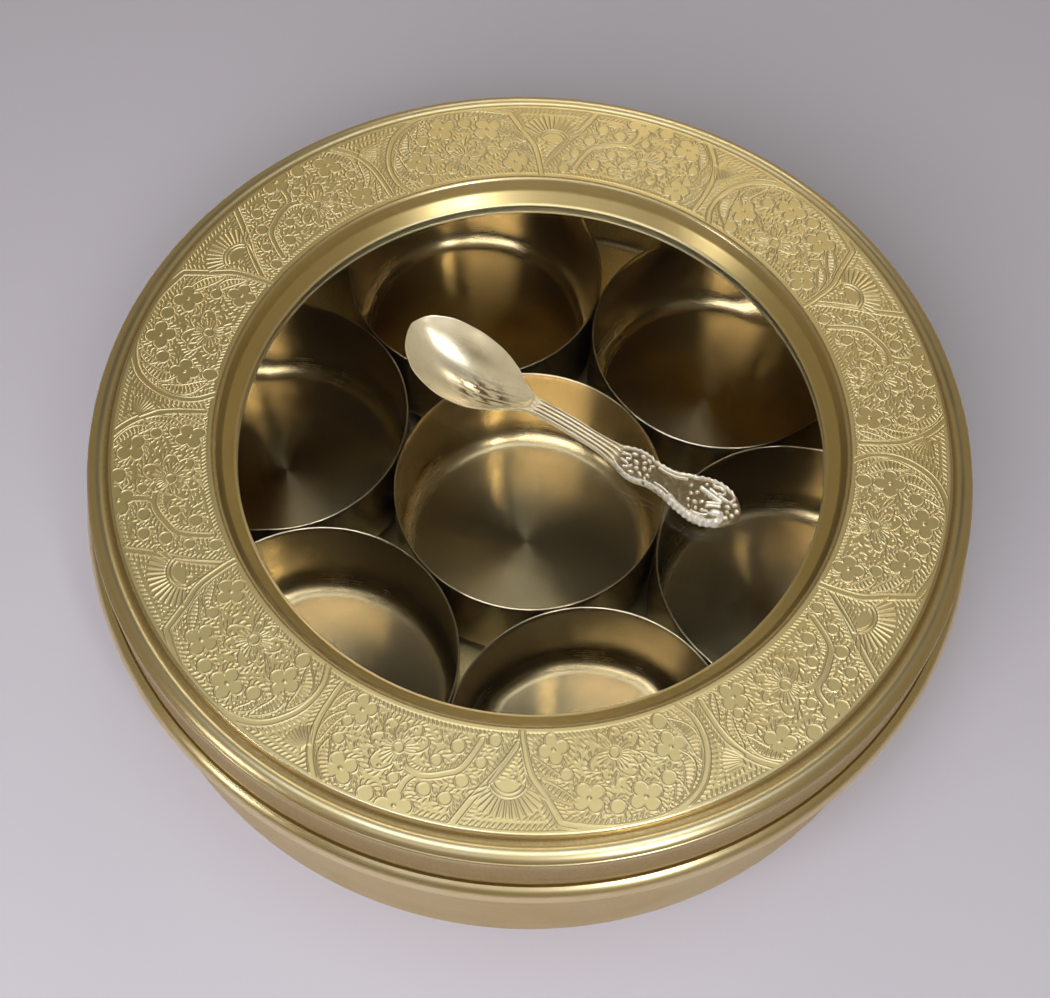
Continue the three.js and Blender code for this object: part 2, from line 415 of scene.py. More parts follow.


# A section turned about an upright axis: ring i, step j is at radius r_i and angle 2 pi j / steps. A
# section that ends on the axis is closed by a fan at each pole, any other closes on itself. An optional
# function of radius and height adds painted shade.
def turnedPiece(name, section, steps, material, centre=(0, 0), sharp=38, paintedShade=None):
    after = np.roll(section, -1, axis=0)
    if (section[:, 0] * after[:, 1] - after[:, 0] * section[:, 1]).sum() < 0:
        section = section[::-1]
    onAxis = abs(section[0, 0]) < 1e-9
    bend = curvatureOf(section, not onAxis)
    lengths = np.concatenate([[0], np.cumsum(np.linalg.norm(np.diff(section, axis=0), axis=1))]) / 10
    rings = section[1:-1] if onAxis else section
    ringLengths = lengths[1:-1] if onAxis else lengths
    angle = 2 * math.pi * np.arange(steps) / steps
    points = np.stack([
        centre[0] + rings[:, :1] * np.cos(angle),
        centre[1] + rings[:, :1] * np.sin(angle),
        rings[:, 1:] + 0 * angle,
    ], axis=-1).reshape(-1, 3)
    index = np.arange(len(rings) * steps).reshape(len(rings), steps)
    nextIndex, nextLengths = np.roll(index, -1, axis=0), np.roll(ringLengths, -1)
    if onAxis:
        index, nextIndex, nextLengths = index[:-1], nextIndex[:-1], nextLengths[:-1]
        ringLengths = ringLengths[:-1]
    here, there = np.roll(index, -1, axis=1), np.roll(nextIndex, -1, axis=1)
    quads = np.stack([index, here, there, nextIndex], axis=-1).reshape(-1, 4)
    j = np.arange(steps)
    u = np.tile(np.column_stack([j, j + 1, j + 1, j]).ravel(), len(ringLengths)) / steps
    v = np.column_stack([ringLengths, ringLengths, nextLengths, nextLengths])
    v = np.repeat(v[:, None], steps, axis=1).ravel()
    groups = [quads]
    if onAxis:
        low, high = len(points), len(points) + 1
        points = np.concatenate([points, [(*centre, section[0, 1]), (*centre, section[-1, 1])]])
        first, last = index[0], nextIndex[-1]
        groups.append(np.column_stack([np.roll(first, -1), first, np.full(steps, low)]))
        groups.append(np.column_stack([last, np.roll(last, -1), np.full(steps, high)]))
        u = np.concatenate([u, np.column_stack([j + 1, j, j + 0.5]).ravel() / steps,
                            np.column_stack([j, j + 1, j + 0.5]).ravel() / steps])
        ends = [np.tile([lengths[1], lengths[1], lengths[0]], steps),
                np.tile([lengths[-2], lengths[-2], lengths[-1]], steps)]
        v = np.concatenate([v, *ends])
    piece = makePiece(name, points, groups, material)
    setUv(piece, u, v)
    bends = np.repeat(bend[1:-1], steps) if onAxis else np.repeat(bend, steps)
    bends = np.append(bends, [0, 0]) if onAxis else bends
    setAttribute(piece, "worn", np.clip(bends / 0.8, 0, 0.5))
    extra = paintedShade(np.hypot(points[:, 0] - centre[0], points[:, 1] - centre[1]), points[:, 2]) if paintedShade else 0
    # grime and painted shade: darker where the section is concave, and where the optional function adds painted
    # shade
    setAttribute(piece, "grimeAndShade", np.clip(-bends / 1.4 + extra, 0, 1))
    piece.data.set_sharp_from_angle(angle=math.radians(sharp))
    return piece


def place(piece, body, slot, *nodes):
    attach(piece, body)
    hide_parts(*nodes)


# ---- the box, a spun vessel with a rolled bead

brassFinish = {
    "color": (0.84, 0.68, 0.33), "tarnish": (0.68, 0.51, 0.21), "bright": (0.89, 0.85, 0.75),
    "dirt": (0.16, 0.10, 0.045), "roughness": 0.31, "spread": 0.16, "fineness": 2200.0, "lines": 0.8,
    "blotches": 0.4, "wear": 0.6, "dullness": 0.25, "bump": 0.2, "brushed": 0.5,
}

boxBody = {
    "sheet": 0.7,
    "wallRadius": 106.3,
    "corner": 3.0,  # outside radius between the floor and the wall
    "rim": 55.5,
    "beadCentre": (107.1, 42.4),
    "beadRoll": 3.4,
    "groove": 0.9,
    "steps": 360,
}


def makeBox():
    radius, corner, roll = boxBody["wallRadius"], boxBody["corner"], boxBody["beadRoll"]
    beadX, beadZ = boxBody["beadCentre"]
    reach = math.degrees(math.acos((radius - beadX) / roll))
    low = roundedLine([(0, 0), (radius, 0, corner), (radius, beadZ - roll)], 10)
    bead = arc((beadX, beadZ), roll, -reach, reach, 22)
    outer = resampled(np.concatenate([low[:-1], bead, [(radius, boxBody["rim"])]]), 6)
    section = vesselSection(outer, boxBody["sheet"])
    # under the lid's skirt the bead dips into a groove beside the neck
    high = beadZ + roll - 0.25
    groove = (section[:, 0] > radius - 0.1) & (section[:, 0] < radius + 1.6) & (section[:, 1] > high)
    groove &= section[:, 1] < beadZ + roll + 0.2
    section[groove, 1] -= boxBody["groove"] * ease(radius + 1.5 - section[groove, 0], 0, 0.7)

    # Painted shade: the outside wall below the bead a little darker, the inside floor and low inside wall,
    # among the cups, much darker.
    def paintedShade(r, z):
        outside = ease(r, radius - 0.45, radius - 0.2) * (1 - ease(z, beadZ - roll - 1, beadZ - roll + 1))
        inside = (1 - ease(r, radius - 0.6, radius - 0.3)) * ease(z, 0.3, 0.6) * (1 - ease(z, 12, 30))
        return 0.2 * outside + 0.55 * inside

    piece = turnedPiece("box", section, boxBody["steps"], makeSpun("spunBrass", brassFinish), paintedShade=paintedShade)
    place(piece, "box", "satin_brass", "box_body")


makeBox()
print("box made")


# ---- the seven cups

# The cups' brass is painted about half as bright as the box's: painted shade for the inside of the box, under
# the lid and glass.
shadedCupFinish = {
    "color": (0.42, 0.33, 0.185), "tarnish": (0.31, 0.235, 0.12), "bright": (0.72, 0.64, 0.52),
    "dirt": (0.10, 0.07, 0.035), "roughness": 0.22, "spread": 0.12, "fineness": 1800.0, "lines": 0.6,
    "blotches": 0.5, "wear": 1.0, "dullness": 0.2, "bump": 0.3, "brushed": 0.72,
}

cups = {
    "names": ["cup_center"] + [f"cup_{i}" for i in range(1, 7)],
    "sheet": 0.5,
    "corner": 5.6,  # outside radius between the floor and the wall
    "steps": 200,
}


def makeCups():
    for name in cups["names"]:
        size = spanOf(name)
        radius = size["radius"]
        line = [(0, size["low"]), (radius, size["low"], cups["corner"]), (radius, size["high"])]
        outer = roundedLine(line, 12)
        section = vesselSection(resampled(outer, 2.5), cups["sheet"])
        finish = makeSpun(name + "Brass", shadedCupFinish, size["middle"])
        piece = turnedPiece(name.replace("_", "") + "Fine", section, cups["steps"], finish, size["middle"])
        place(piece, name, "cup_brass", name)


makeCups()
print("cups made")


# ---- the window: gasket, glass and retaining ring

window = {
    "glassEdge": 0.25,  # ground edge of the glass
    "gasketWidth": 3.2,
    "gasketRound": 0.3,
    "clampInner": 72.3,
    "clampSheet": 0.7,
    "clampOuterRound": 0.9,
    "clampInnerRound": 0.2,
    "steps": 240,
}


def makeGlassMaterial():
    material, tree, shader = emptyMaterial("windowGlass")
    shader.inputs["Base Color"].default_value = (0.96, 0.975, 0.965, 1)
    shader.inputs["Transmission Weight"].default_value = 1
    shader.inputs["IOR"].default_value = 1.3
    where = addNode(tree, "ShaderNodeTexCoord").outputs["Object"]
    smudge = mapRange(tree, noise(tree, where, 26.0, 5.0, 0.62, 1.4), 0.5, 0.75)
    specks = mapRange(tree, noise(tree, where, 900.0, 2.0), 0.66, 0.74)
    rough = compute(tree, "MULTIPLY", smudge, 0.05)
    rough = compute(tree, "ADD", rough, compute(tree, "MULTIPLY", specks, 0.08))
    tree.links.new(compute(tree, "ADD", rough, 0.012), shader.inputs["Roughness"])
    waves = addNode(tree, "ShaderNodeBump", {"Height": noise(tree, where, 14.0, 2.0), "Strength": 0.03,
                                             "Distance": 0.002})
    tree.links.new(waves.outputs[0], shader.inputs["Normal"])
    clear = addNode(tree, "ShaderNodeBsdfTransparent", {"Color": (0.92, 0.935, 0.93, 1)})
    path = addNode(tree, "ShaderNodeLightPath").outputs["Is Shadow Ray"]
    mixed = addNode(tree, "ShaderNodeMixShader", {0: path, 1: shader.outputs[0], 2: clear.outputs[0]})
    tree.links.new(mixed.outputs[0], tree.nodes["Material Output"].inputs["Surface"])
    return material


def makeRubberMaterial():
    material, tree, shader = emptyMaterial("gasketRubber")
    where = addNode(tree, "ShaderNodeTexCoord").outputs["Object"]
    dust = mapRange(tree, noise(tree, where, 220.0, 5.0, 0.65), 0.45, 0.75)
    grain = noise(tree, where, 2600.0, 3.0)
    color = mixColors(tree, dust, (0.022, 0.02, 0.019, 1), (0.075, 0.068, 0.06, 1))
    tree.links.new(color, shader.inputs["Base Color"])
    tree.links.new(mapRange(tree, dust, 0, 1, 0.55, 0.85), shader.inputs["Roughness"])
    bump = addNode(tree, "ShaderNodeBump", {"Height": grain, "Strength": 0.3, "Distance": 0.0002})
    tree.links.new(bump.outputs[0], shader.inputs["Normal"])
    return material


def makeWindow():
    size = spanOf("window_glass")
    edge = window["glassEdge"]
    radius, low, high = size["radius"], size["low"], size["high"]
    section = roundedLine([(0, low), (radius, low, edge), (radius, high, edge), (0, high)], 4)
    piece = turnedPiece("windowPane", resampled(section, 8), window["steps"], makeGlassMaterial())
    place(piece, "lid", "clear_glass", "window_glass")

    size = spanOf("window_gasket")
    outer, low, high = size["radius"], size["low"], size["high"]
    inner, rounding = outer - window["gasketWidth"], window["gasketRound"]
    middle = (inner + outer) / 2
    section = roundedLine([(middle, low), (outer, low, rounding), (outer, high, rounding),
                           (inner, high, rounding), (inner, low, rounding), (middle, low)], 5)[:-1]
    piece = turnedPiece("windowGasket", section, window["steps"], makeRubberMaterial())
    place(piece, "lid", "black_rubber", "window_gasket")

    size = spanOf("retaining_ring")
    sheet, outer, low, high = window["clampSheet"], size["radius"], size["low"], size["high"]
    line = roundedLine([(window["clampInner"], low), (outer, low, window["clampOuterRound"]), (outer, high)], 6)
    inside = roundedLine([(outer - sheet, high), (outer - sheet, low + sheet, window["clampInnerRound"]),
                          (window["clampInner"], low + sheet)], 4)
    section = np.concatenate([line, cutEdge(line[-1], inside[0], 4), inside, cutEdge(inside[-1], line[0], 4)])
    piece = turnedPiece("clampRing", section, window["steps"], makeSpun("clampBrass", brassFinish))
    place(piece, "lid", "satin_brass", "retaining_ring")


makeWindow()
print("window made")


# ---- the lid: a turned bevel inside, a turned shoulder and skirt outside, and the embossed ring between

lid = {
    "sheet": 0.7,
    "ringInner": 77.4,
    "ringOuter": 101.0,
    "windowRadius": 72.1,
    "flange": 57.4,  # height of the narrow flange round the window
    "rollCentre": (104.75, -4.55),  # radius, and height against the ring
    "roll": 3.0,
    "brow": 1.6,  # radius of the round above the skirt
    # colour of grime and painted shade on the shoulder, then how much painted shade the groove beside the ring
    # and the skirt get
    "dirt": (0.36, 0.25, 0.11),
    "grooveShade": 0.25,
    "edgeShade": 0.75,
    "footLift": 0.5,  # the skirt's rolled edge ends this much above the cut sheet
    "steps": 480,
}


def makeLidEdges():
    size = spanOf("lid_cover")
    radius, top, foot = size["radius"], size["high"], size["low"] + lid["footLift"]
    sheet, inner, outer = lid["sheet"], lid["ringInner"], lid["ringOuter"]
    finish = makeSpun("lidBrass", {**brassFinish, "dirt": lid["dirt"]})
    rollX, rollZ, browZ = lid["rollCentre"][0], top + lid["rollCentre"][1], top - 3.2 - lid["brow"]
    roll = arc((rollX, rollZ), lid["roll"], 116, 44, 22)
    step = roundedLine([(outer, top), (outer + 0.5, top, 0.55), (outer + 1.25, top - 1.9, 1.2),
                        tuple(roll[0])], 8)
    brow = arc((radius - lid["brow"], browZ), lid["brow"], 66, 0, 12)
    crease = roundedLine([tuple(roll[-1]), (brow[0, 0] - 0.25, brow[0, 1], 0.45), tuple(brow[0])], 6)[1:-1]
    skirt = resampled(np.array([brow[-1], (radius, foot)]), 3)[1:]
    under = np.array([(radius - sheet, foot), (radius - sheet, top - 4.6), (radius - 1.6, top - 4.0),
                      (radius - 2.8, top - 3.1), (outer + 2.4, top - 3.0), (outer + 0.4, top - 2.8),
                      (outer, top - sheet)])
    line = np.concatenate([step[:-1], roll, crease, brow, skirt])
    section = np.concatenate([line, cutEdge(line[-1], under[0], 5), under])

    # Painted shade: darker in the groove beside the embossed ring, and over the outer round of the brow and the
    # skirt.
    def paintedShade(r, z):
        groove = ease(r, outer + 0.3, outer + 0.9) * (1 - ease(r, outer + 1.6, outer + 2.9))
        return lid["grooveShade"] * groove + lid["edgeShade"] * ease(r, radius - 1.1, radius - 0.3)

    piece = turnedPiece("lidShoulder", section, lid["steps"], finish, paintedShade=paintedShade)
    place(piece, "lid", "embossed_brass", "lid_cover")

    edge = lid["windowRadius"]
    upper = roundedLine([(inner, top), (inner - 0.8, top, 1.3), (inner - 2.3, top - 3.1, 2.2),
                         (edge + 0.5, lid["flange"], 0.8), (edge, lid["flange"] - 0.25)], 10)
    lower = np.array([(edge, lid["flange"] - sheet), (edge + 1.5, lid["flange"] - sheet),
                      (inner - 1.2, top - 2.0), (inner, top - sheet)])
    section = np.concatenate([upper, cutEdge(upper[-1], lower[0], 5), lower])
    piece = turnedPiece("lidBevel", section, lid["steps"], finish)
    place(piece, "lid", "embossed_brass", "lid_cover")


# ---- relief drawn with strokes, discs and leaves, in millimetres on a flat pattern

# A smooth line through points: uniform Catmull-Rom spans.
def smoothPath(points, steps=8):
    p = np.array(points, float)
    p = np.concatenate([[2 * p[0] - p[1]], p, [2 * p[-1] - p[-2]]])
    t = np.linspace(0, 1, steps, endpoint=False)[:, None]
    spans = [
        (2 * b + (c - a) * t + (2 * a - 5 * b + 4 * c - d) * t**2 + (3 * b - a - 3 * c + d) * t**3) / 2
        for a, b, c, d in zip(p[:-3], p[1:-2], p[2:-1], p[3:])
    ]
    return np.concatenate(spans + [p[-2:-1]])


# Distance from every point to a line less the line's half width there, and the length along the line at
# the closest place. It is worked out only within a margin of the line, and is large elsewhere.
def strokeField(x, y, path, halfWidth, margin=4.5):
    widths = np.broadcast_to(halfWidth, len(path))
    low, high = path.min(axis=0) - margin, path.max(axis=0) + margin
    near = (x > low[0]) & (x < high[0]) & (y > low[1]) & (y < high[1])
    distance, along = np.full(x.shape, 99.0), np.zeros(x.shape)
    px, py = x[near][:, None], y[near][:, None]
    start, step = path[:-1], np.diff(path, axis=0)
    length = np.hypot(step[:, 0], step[:, 1])
    t = np.clip(((px - start[:, 0]) * step[:, 0] + (py - start[:, 1]) * step[:, 1]) / length**2, 0, 1)
    gap = np.hypot(px - start[:, 0] - t * step[:, 0], py - start[:, 1] - t * step[:, 1])
    gap -= widths[:-1] + t * np.diff(widths)
    closest = gap.argmin(axis=1)
    rows = np.arange(len(closest))
    distance[near] = gap[rows, closest]
    along[near] = ((np.cumsum(length) - length) + t * length)[rows, closest]
    return distance, along


# A ridge along a short straight or smooth line: 1 on the line, 0 beyond its half width.
def ridge(x, y, points, halfWidth, soft=0.16):
    path = smoothPath(points, 6) if len(points) > 2 else np.array(points, float)
    return 1 - ease(strokeField(x, y, path, 0, 1.5)[0], halfWidth - soft, halfWidth + soft)


# Distance to an ellipse, from how its level q = |(u/a, v/b)| changes: (q - 1) over the slope of q.
def leafField(x, y, centre, size, turn):
    dx, dy = x - centre[0], y - centre[1]
    u = dx * math.cos(turn) + dy * math.sin(turn)
    v = dy * math.cos(turn) - dx * math.sin(turn)
    q = np.hypot(u / size[0], v / size[1]) + 1e-6
    slope = np.hypot(u / size[0] ** 2, v / size[1] ** 2) / q + 1e-6
    return (q - 1) / slope, np.arctan2(v / size[1], u / size[0]) * (size[0] + size[1]) / 2


emboss = {
    "repeats": 6,
    "firstDaisy": 44.7,  # degrees from +X
    "grid": 0.165,
    "depth": 0.05,
    "slope": 0.3,  # width of the slope round each raised motif
    "dashPitch": 1.1, "dashLength": 1.4, "dashWidth": 0.3, "dashSlant": 0.6, "dashRow": 1.85,
    "lineHeight": 0.105, "lineWidth": 0.18,
    "vine": 0.7,  # half width of a vine
    "vines": [
        [(-18.5, 0.3), (-20.6, 4.5), (-20.8, 9.5), (-19.2, 14.5), (-15.8, 19.5), (-11, 22.6), (-5, 24),
         (5, 23.7), (13, 21.8)],
        [(13.6, 21.5), (16.7, 15.1), (19.5, 10.4), (21.2, 3.5), (21.6, 1)],
        [(22.5, 4), (26.5, 10), (31, 16.5), (34.5, 23.5)],
        [(31.1, 3.6), (33.1, 8), (35.1, 11.1), (37.9, 12.6), (41.3, 14), (44.1, 14.3), (47, 13.2),
         (49, 10.6)],
        [(44.1, 14.3), (45.5, 16.2), (46.1, 19)],
        [(61.7, 24.5), (65.6, 19.5), (67.9, 14.3), (68.8, 8.8), (69, 2.2)],
    ],
    "discs": [
        (-9.8, 15.8, 1.7), (2, 19.4, 1.7), (11.6, 10.9, 1.5), (-12.6, 3, 1.9), (28, 3.3, 1.6), (30.7, 8.8, 1.4),
        (34.1, 13.5, 1.6), (36.8, 18.1, 1.5), (41.4, 17.1, 1.6), (40.6, 10.1, 1.4), (52.1, 21.9, 1.8),
        (48.1, 16.6, 1.3), (36.5, 5.9, 1.7), (62.5, 13.2, 1.4), (62.8, 8.8, 1.3),
    ],
    # middle, turn in degrees
    "blossoms": [(-4.1, 18.4, 20), (-12.9, 9.3, 5), (7.4, 16.5, 30), (14.1, 4.9, 12), (46.1, 22.4, 15),
                 (58.9, 19, 40), (61.3, 5, 25)],
    # middle, then each petal's direction in degrees, reach and half width
    "daisies": [
        ((0, 7.25), [(122, 6.9, 2.1), (60, 6.8, 1.7), (24, 7.0, 1.9), (154, 7.0, 1.6), (207, 7.0, 2.0),
                     (255, 6.0, 1.7), (302, 5.8, 1.1)]),
        ((49.5, 9.7), [(58, 7.4, 2.2), (-2, 6.8, 1.9), (-48, 7.2, 2.0), (207, 7.0, 1.9), (241, 7.0, 1.8),
                       (112, 5.6, 1.4), (279, 6.0, 1.4)]),
    ],
    # the outer line, and the middle of the inner one
    "crescents": [
        ((-17.7, 13.9), (-19.3, 8.7), (-14.7, 2.9), (-17, 7.2)),
        ((-12.5, 20), (-16.1, 14.2), (-14.1, 10.7), (-13.9, 15)),
        ((-9.3, 21.5), (-11.9, 18.9), (-11.3, 16.5), (-10.4, 18.8)),
        ((9.6, 17.7), (14.4, 15.4), (17, 11.9), (12.5, 14.5)),
        ((12.7, 11.6), (16.7, 10.4), (19, 6.7), (15, 9.4)),
        ((58.9, 24.2), (63.9, 19.5), (64.2, 14.3), (62, 18.4)),
        ((66.2, 16.1), (67.1, 11.1), (64.2, 6.8), (65.4, 11)),
        ((67.9, 8.2), (67.5, 4.6), (65.4, 1.9), (66.2, 5)),
    ],
    "bigFan": {"middle": (24.3, 11.7), "tip": (22.3, 2.2), "arcs": (3.4, 4.3), "ribs": (4.9, 8.8),
               "angles": range(25, 160, 9)},
    "smallFan": {"middle": (66.3, 19), "arcs": (), "ribs": (1.6, 5.6), "angles": range(-65, 15, 9)},
}


# The heights of one repeat of the pattern. x runs round the ring and repeats, y runs outwards. Motifs
# stand a little above the ground, each has a raised outline, and rows of short slanted dashes follow it.
def embossHeights(x, y, width, period):
    def shifted(middle):
        return (x - middle + period / 2) % period - period / 2 + middle

    pitch = period / round(period / emboss["dashPitch"])
    nearest, follow = np.full(x.shape, 99.0), x.copy()
    lines = np.zeros(x.shape)
    cut = np.zeros(x.shape)

    def add(field):
        closer = field[0] < nearest
        nearest[closer] = field[0][closer]
        follow[closer] = field[1][closer]

    def addLine(xs, points, halfWidth=emboss["lineWidth"]):
        np.maximum(lines, ridge(xs, y, points, halfWidth), out=lines)

    def addDot(xs, cx, cy, radius=0.34):
        np.maximum(lines, 1 - ease(np.hypot(xs - cx, y - cy), radius - 0.14, radius + 0.14), out=lines)

    def ringPitch(radius):
        return pitch * round(2 * math.pi * radius / pitch) / (2 * math.pi)

    for points in emboss["vines"]:
        path = smoothPath(points)
        add(strokeField(shifted(path[:, 0].mean()), y, path, emboss["vine"]))
    for cx, cy, radius in emboss["discs"]:
        dx, dy = shifted(cx) - cx, y - cy
        add((np.hypot(dx, dy) - radius, np.arctan2(dy, dx) * ringPitch(radius + 0.6)))
    for cx, cy, turn in emboss["blossoms"]:
        dx, dy = shifted(cx) - cx, y - cy
        around = np.arctan2(dy, dx)
        lobe = np.radians(turn) + np.round((around - np.radians(turn)) / (math.pi / 2)) * (math.pi / 2)
        reach = np.hypot(dx - 2.1 * np.cos(lobe), dy - 2.1 * np.sin(lobe)) - 1.65
        add((np.minimum(reach, np.hypot(dx, dy) - 1.6), around * ringPitch(4.0)))
        addDot(shifted(cx), cx, cy, 0.4)
    for (cx, cy), petals in emboss["daisies"]:
        xs = shifted(cx)
        add((np.hypot(xs - cx, y - cy) - 1.3, np.arctan2(y - cy, xs - cx) * ringPitch(1.3)))
        rim = np.abs(np.hypot(xs - cx, y - cy) - 1.35)
        np.maximum(cut, 1 - ease(rim, 0.1, 0.3), out=cut)
        for direction, reach, breadth in petals:
            turn = math.radians(direction)
            ahead, across = math.cos(turn), math.sin(turn)
            middle = (cx + (reach + 0.6) / 2 * ahead, cy + (reach + 0.6) / 2 * across)
            leaf = leafField(xs, y, middle, ((reach - 0.6) / 2, breadth), turn)
            add(leaf)
            fromCentre = np.hypot(xs - cx, y - cy)
            outline = (1 - ease(np.abs(leaf[0]), 0.08, 0.3)) * ease(fromCentre, 2.6, 3.4)
            np.maximum(cut, outline, out=cut)
            for spread in (-0.36, -0.12, 0.12, 0.36):
                far = reach * 0.66 - 2.4 * abs(spread)
                ahead, across = math.cos(turn + spread), math.sin(turn + spread)
                addLine(xs, [(cx + 1.8 * ahead, cy + 1.8 * across), (cx + far * ahead, cy + far * across)])
            addDot(xs, cx + reach * 0.8 * math.cos(turn + 0.12), cy + reach * 0.8 * math.sin(turn + 0.12))
    for start, outer, stop, inner in emboss["crescents"]:
        start, outer, stop, inner = map(np.array, (start, outer, stop, inner))
        path = smoothPath([start, (outer + inner) / 2, stop])
        share = np.linspace(0, 1, len(path))
        half = np.linalg.norm(outer - inner) / 2
        xs = shifted(path[:, 0].mean())
        field = strokeField(xs, y, path, 0.12 + half * np.sin(np.pi * share) ** 0.8)
        add(field)
        bars = np.abs((field[1] / 0.95) % 1 - 0.5) * 0.95
        inside = (1 - ease(bars, 0.1, 0.28)) * ease(-field[0], 0.25, 0.5)
        np.maximum(cut, inside, out=cut)

    # dashes, in rows that follow the nearest outline or the edge of the ring
    motif, border = nearest, np.minimum(y - 0.85, width - 0.5 - y)
    follow = np.where(border < motif, x, follow)
    nearest = np.minimum(border, motif)
    row = np.floor(np.maximum(nearest, 0) / emboss["dashRow"])
    inRow = nearest - row * emboss["dashRow"]
    phase = (follow + emboss["dashSlant"] * inRow) / pitch + 0.5 * row
    across = np.abs(phase % 1 - 0.5) * pitch
    dash = 1 - ease(across, emboss["dashWidth"] / 2 - 0.12, emboss["dashWidth"] / 2 + 0.14)
    rowEnd = 1 - ease(inRow, emboss["dashLength"] - 0.15, emboss["dashLength"] + 0.15)
    dash *= ease(inRow, 0.2, 0.42) * rowEnd
    ribs = np.zeros(x.shape)
    for fan in (emboss["bigFan"], emboss["smallFan"]):
        cx, cy = fan["middle"]
        xs = shifted(cx)
        radius = np.hypot(xs - cx, y - cy)
        first, last = math.radians(fan["angles"][0] - 6), math.radians(fan["angles"][-1] + 6)
        within = (np.arctan2(y - cy, xs - cx) > first) & (np.arctan2(y - cy, xs - cx) < last)
        dash[within & (radius < fan["ribs"][1] + 0.5)] = 0
        for angle in np.radians(fan["angles"]):
            ahead, across = math.cos(angle), math.sin(angle)
            inner, outer = fan["ribs"]
            ends = [(cx + inner * ahead, cy + inner * across), (cx + outer * ahead, cy + outer * across)]
            np.maximum(ribs, ridge(xs, y, ends, 0.2), out=ribs)
        for arcRadius in fan["arcs"]:
            ring = 1 - ease(np.abs(radius - arcRadius), 0.1, 0.34)
            np.maximum(ribs, np.where(within, ring, 0), out=ribs)
        if "tip" in fan:
            for side in (-1, 1):
                foot = (cx + side * fan["arcs"][1] * 0.95, cy + 1.2)
                np.maximum(ribs, ridge(xs, y, [foot, fan["tip"]], 0.24), out=ribs)
    outline = 1 - ease(np.abs(motif - 0.04), 0.05, 0.25)
    outline *= ease(y, 0.3, 0.7) * ease(width - y, 0.3, 0.7)
    solid = 1 - ease(nearest, -0.3, 0)
    raised = np.maximum.reduce([outline, solid * lines, solid * cut, ribs, dash * ease(nearest, 0.1, 0.4)])
    height = -emboss["depth"] * ease(nearest, -0.04, emboss["slope"])
    height += emboss["lineHeight"] * raised
    return height


# One sixth of the ring as a closed plate: the relief on top, a thin wall at each edge, a flat underside
# and two ends. Point (i, j) is at radius r_i and angle a_j, at the ring's height plus the relief.
def makeEmbossedRing():
    size = spanOf("lid_cover")
    top, inner, outer = size["high"], lid["ringInner"], lid["ringOuter"]
    middle, sweep = (inner + outer) / 2, 2 * math.pi / emboss["repeats"]
    rows = round((outer - inner) / emboss["grid"]) + 1
    columns = round(middle * sweep / emboss["grid"]) + 1
    radius = np.linspace(inner, outer, rows)[:, None]
    turn = np.linspace(0, sweep, columns)[None, :]
    x = middle * (sweep - turn) + 0 * radius
    y = radius - inner + 0 * turn
    height = embossHeights(x, y, outer - inner, middle * sweep)
    alongRadius = np.gradient(height, (outer - inner) / (rows - 1), axis=0)
    wrapped = np.concatenate([height[:, -2:-1], height, height[:, 1:2]], axis=1)
    alongTurn = np.gradient(wrapped, sweep / (columns - 1), axis=1)[:, 1:-1] / radius
    index = np.arange(rows * columns).reshape(rows, columns)
    quads = np.stack([index[:-1, :-1], index[1:, :-1], index[1:, 1:], index[:-1, 1:]], axis=-1).reshape(-1, 4)
    innerFoot = rows * columns + np.arange(columns)
    outerFoot = innerFoot + columns
    walls = [
        np.column_stack([index[0, :-1], index[0, 1:], innerFoot[1:], innerFoot[:-1]]),
        np.column_stack([index[-1, 1:], index[-1, :-1], outerFoot[:-1], outerFoot[1:]]),
        np.column_stack([innerFoot[:-1], innerFoot[1:], outerFoot[1:], outerFoot[:-1]]),
    ]
    ends = [
        np.concatenate([index[::-1, 0], [innerFoot[0], outerFoot[0]]])[None],
        np.concatenate([index[:, -1], [outerFoot[-1], innerFoot[-1]]])[None],
    ]
    groups = [quads, *walls, *ends]
    counts = [len(group) for group in groups]
    smooth = np.arange(sum(counts)) < counts[0]
    finish = makeSpun("embossedBrass", embossFinish)
    curve = np.gradient(np.gradient(height, axis=0), axis=0)
    curve = curve + np.gradient(np.gradient(height, axis=1), axis=1)
    for k in range(emboss["repeats"]):
        angle = math.radians(emboss["firstDaisy"]) + (k - 1) * sweep + turn
        footHeight = np.full(columns, top - lid["sheet"])
        feet = [np.stack([r * np.cos(angle[0]), r * np.sin(angle[0]), footHeight], axis=-1)
                for r in (inner, outer)]
        points = np.stack([radius * np.cos(angle), radius * np.sin(angle), top + height], axis=-1)
        points = points.reshape(-1, 3)
        piece = makePiece(f"embossedRing{k + 1}", np.concatenate([points, *feet]), groups, finish, smooth)
        normals = np.stack([
            -alongRadius * np.cos(angle) + alongTurn * np.sin(angle),
            -alongRadius * np.sin(angle) - alongTurn * np.cos(angle),
            np.ones(height.shape),
        ], axis=-1).reshape(-1, 3)
        normals /= np.linalg.norm(normals, axis=1)[:, None]
        cornerNormals = np.zeros((sum(group.size for group in groups), 3))
        cornerNormals[: quads.size] = normals[quads.ravel()]
        piece.data.normals_split_custom_set(cornerNormals.tolist())
        bare = np.zeros(2 * columns)
        # hollows of the relief darker, grime and painted shade; its crests lighter, wear
        setAttribute(piece, "grimeAndShade", np.append(np.clip(curve * 9, 0, 1), bare))
        setAttribute(piece, "worn", np.append(np.clip(-curve * 14, 0, 1), bare))
        place(piece, "lid", "embossed_brass", "lid_cover")


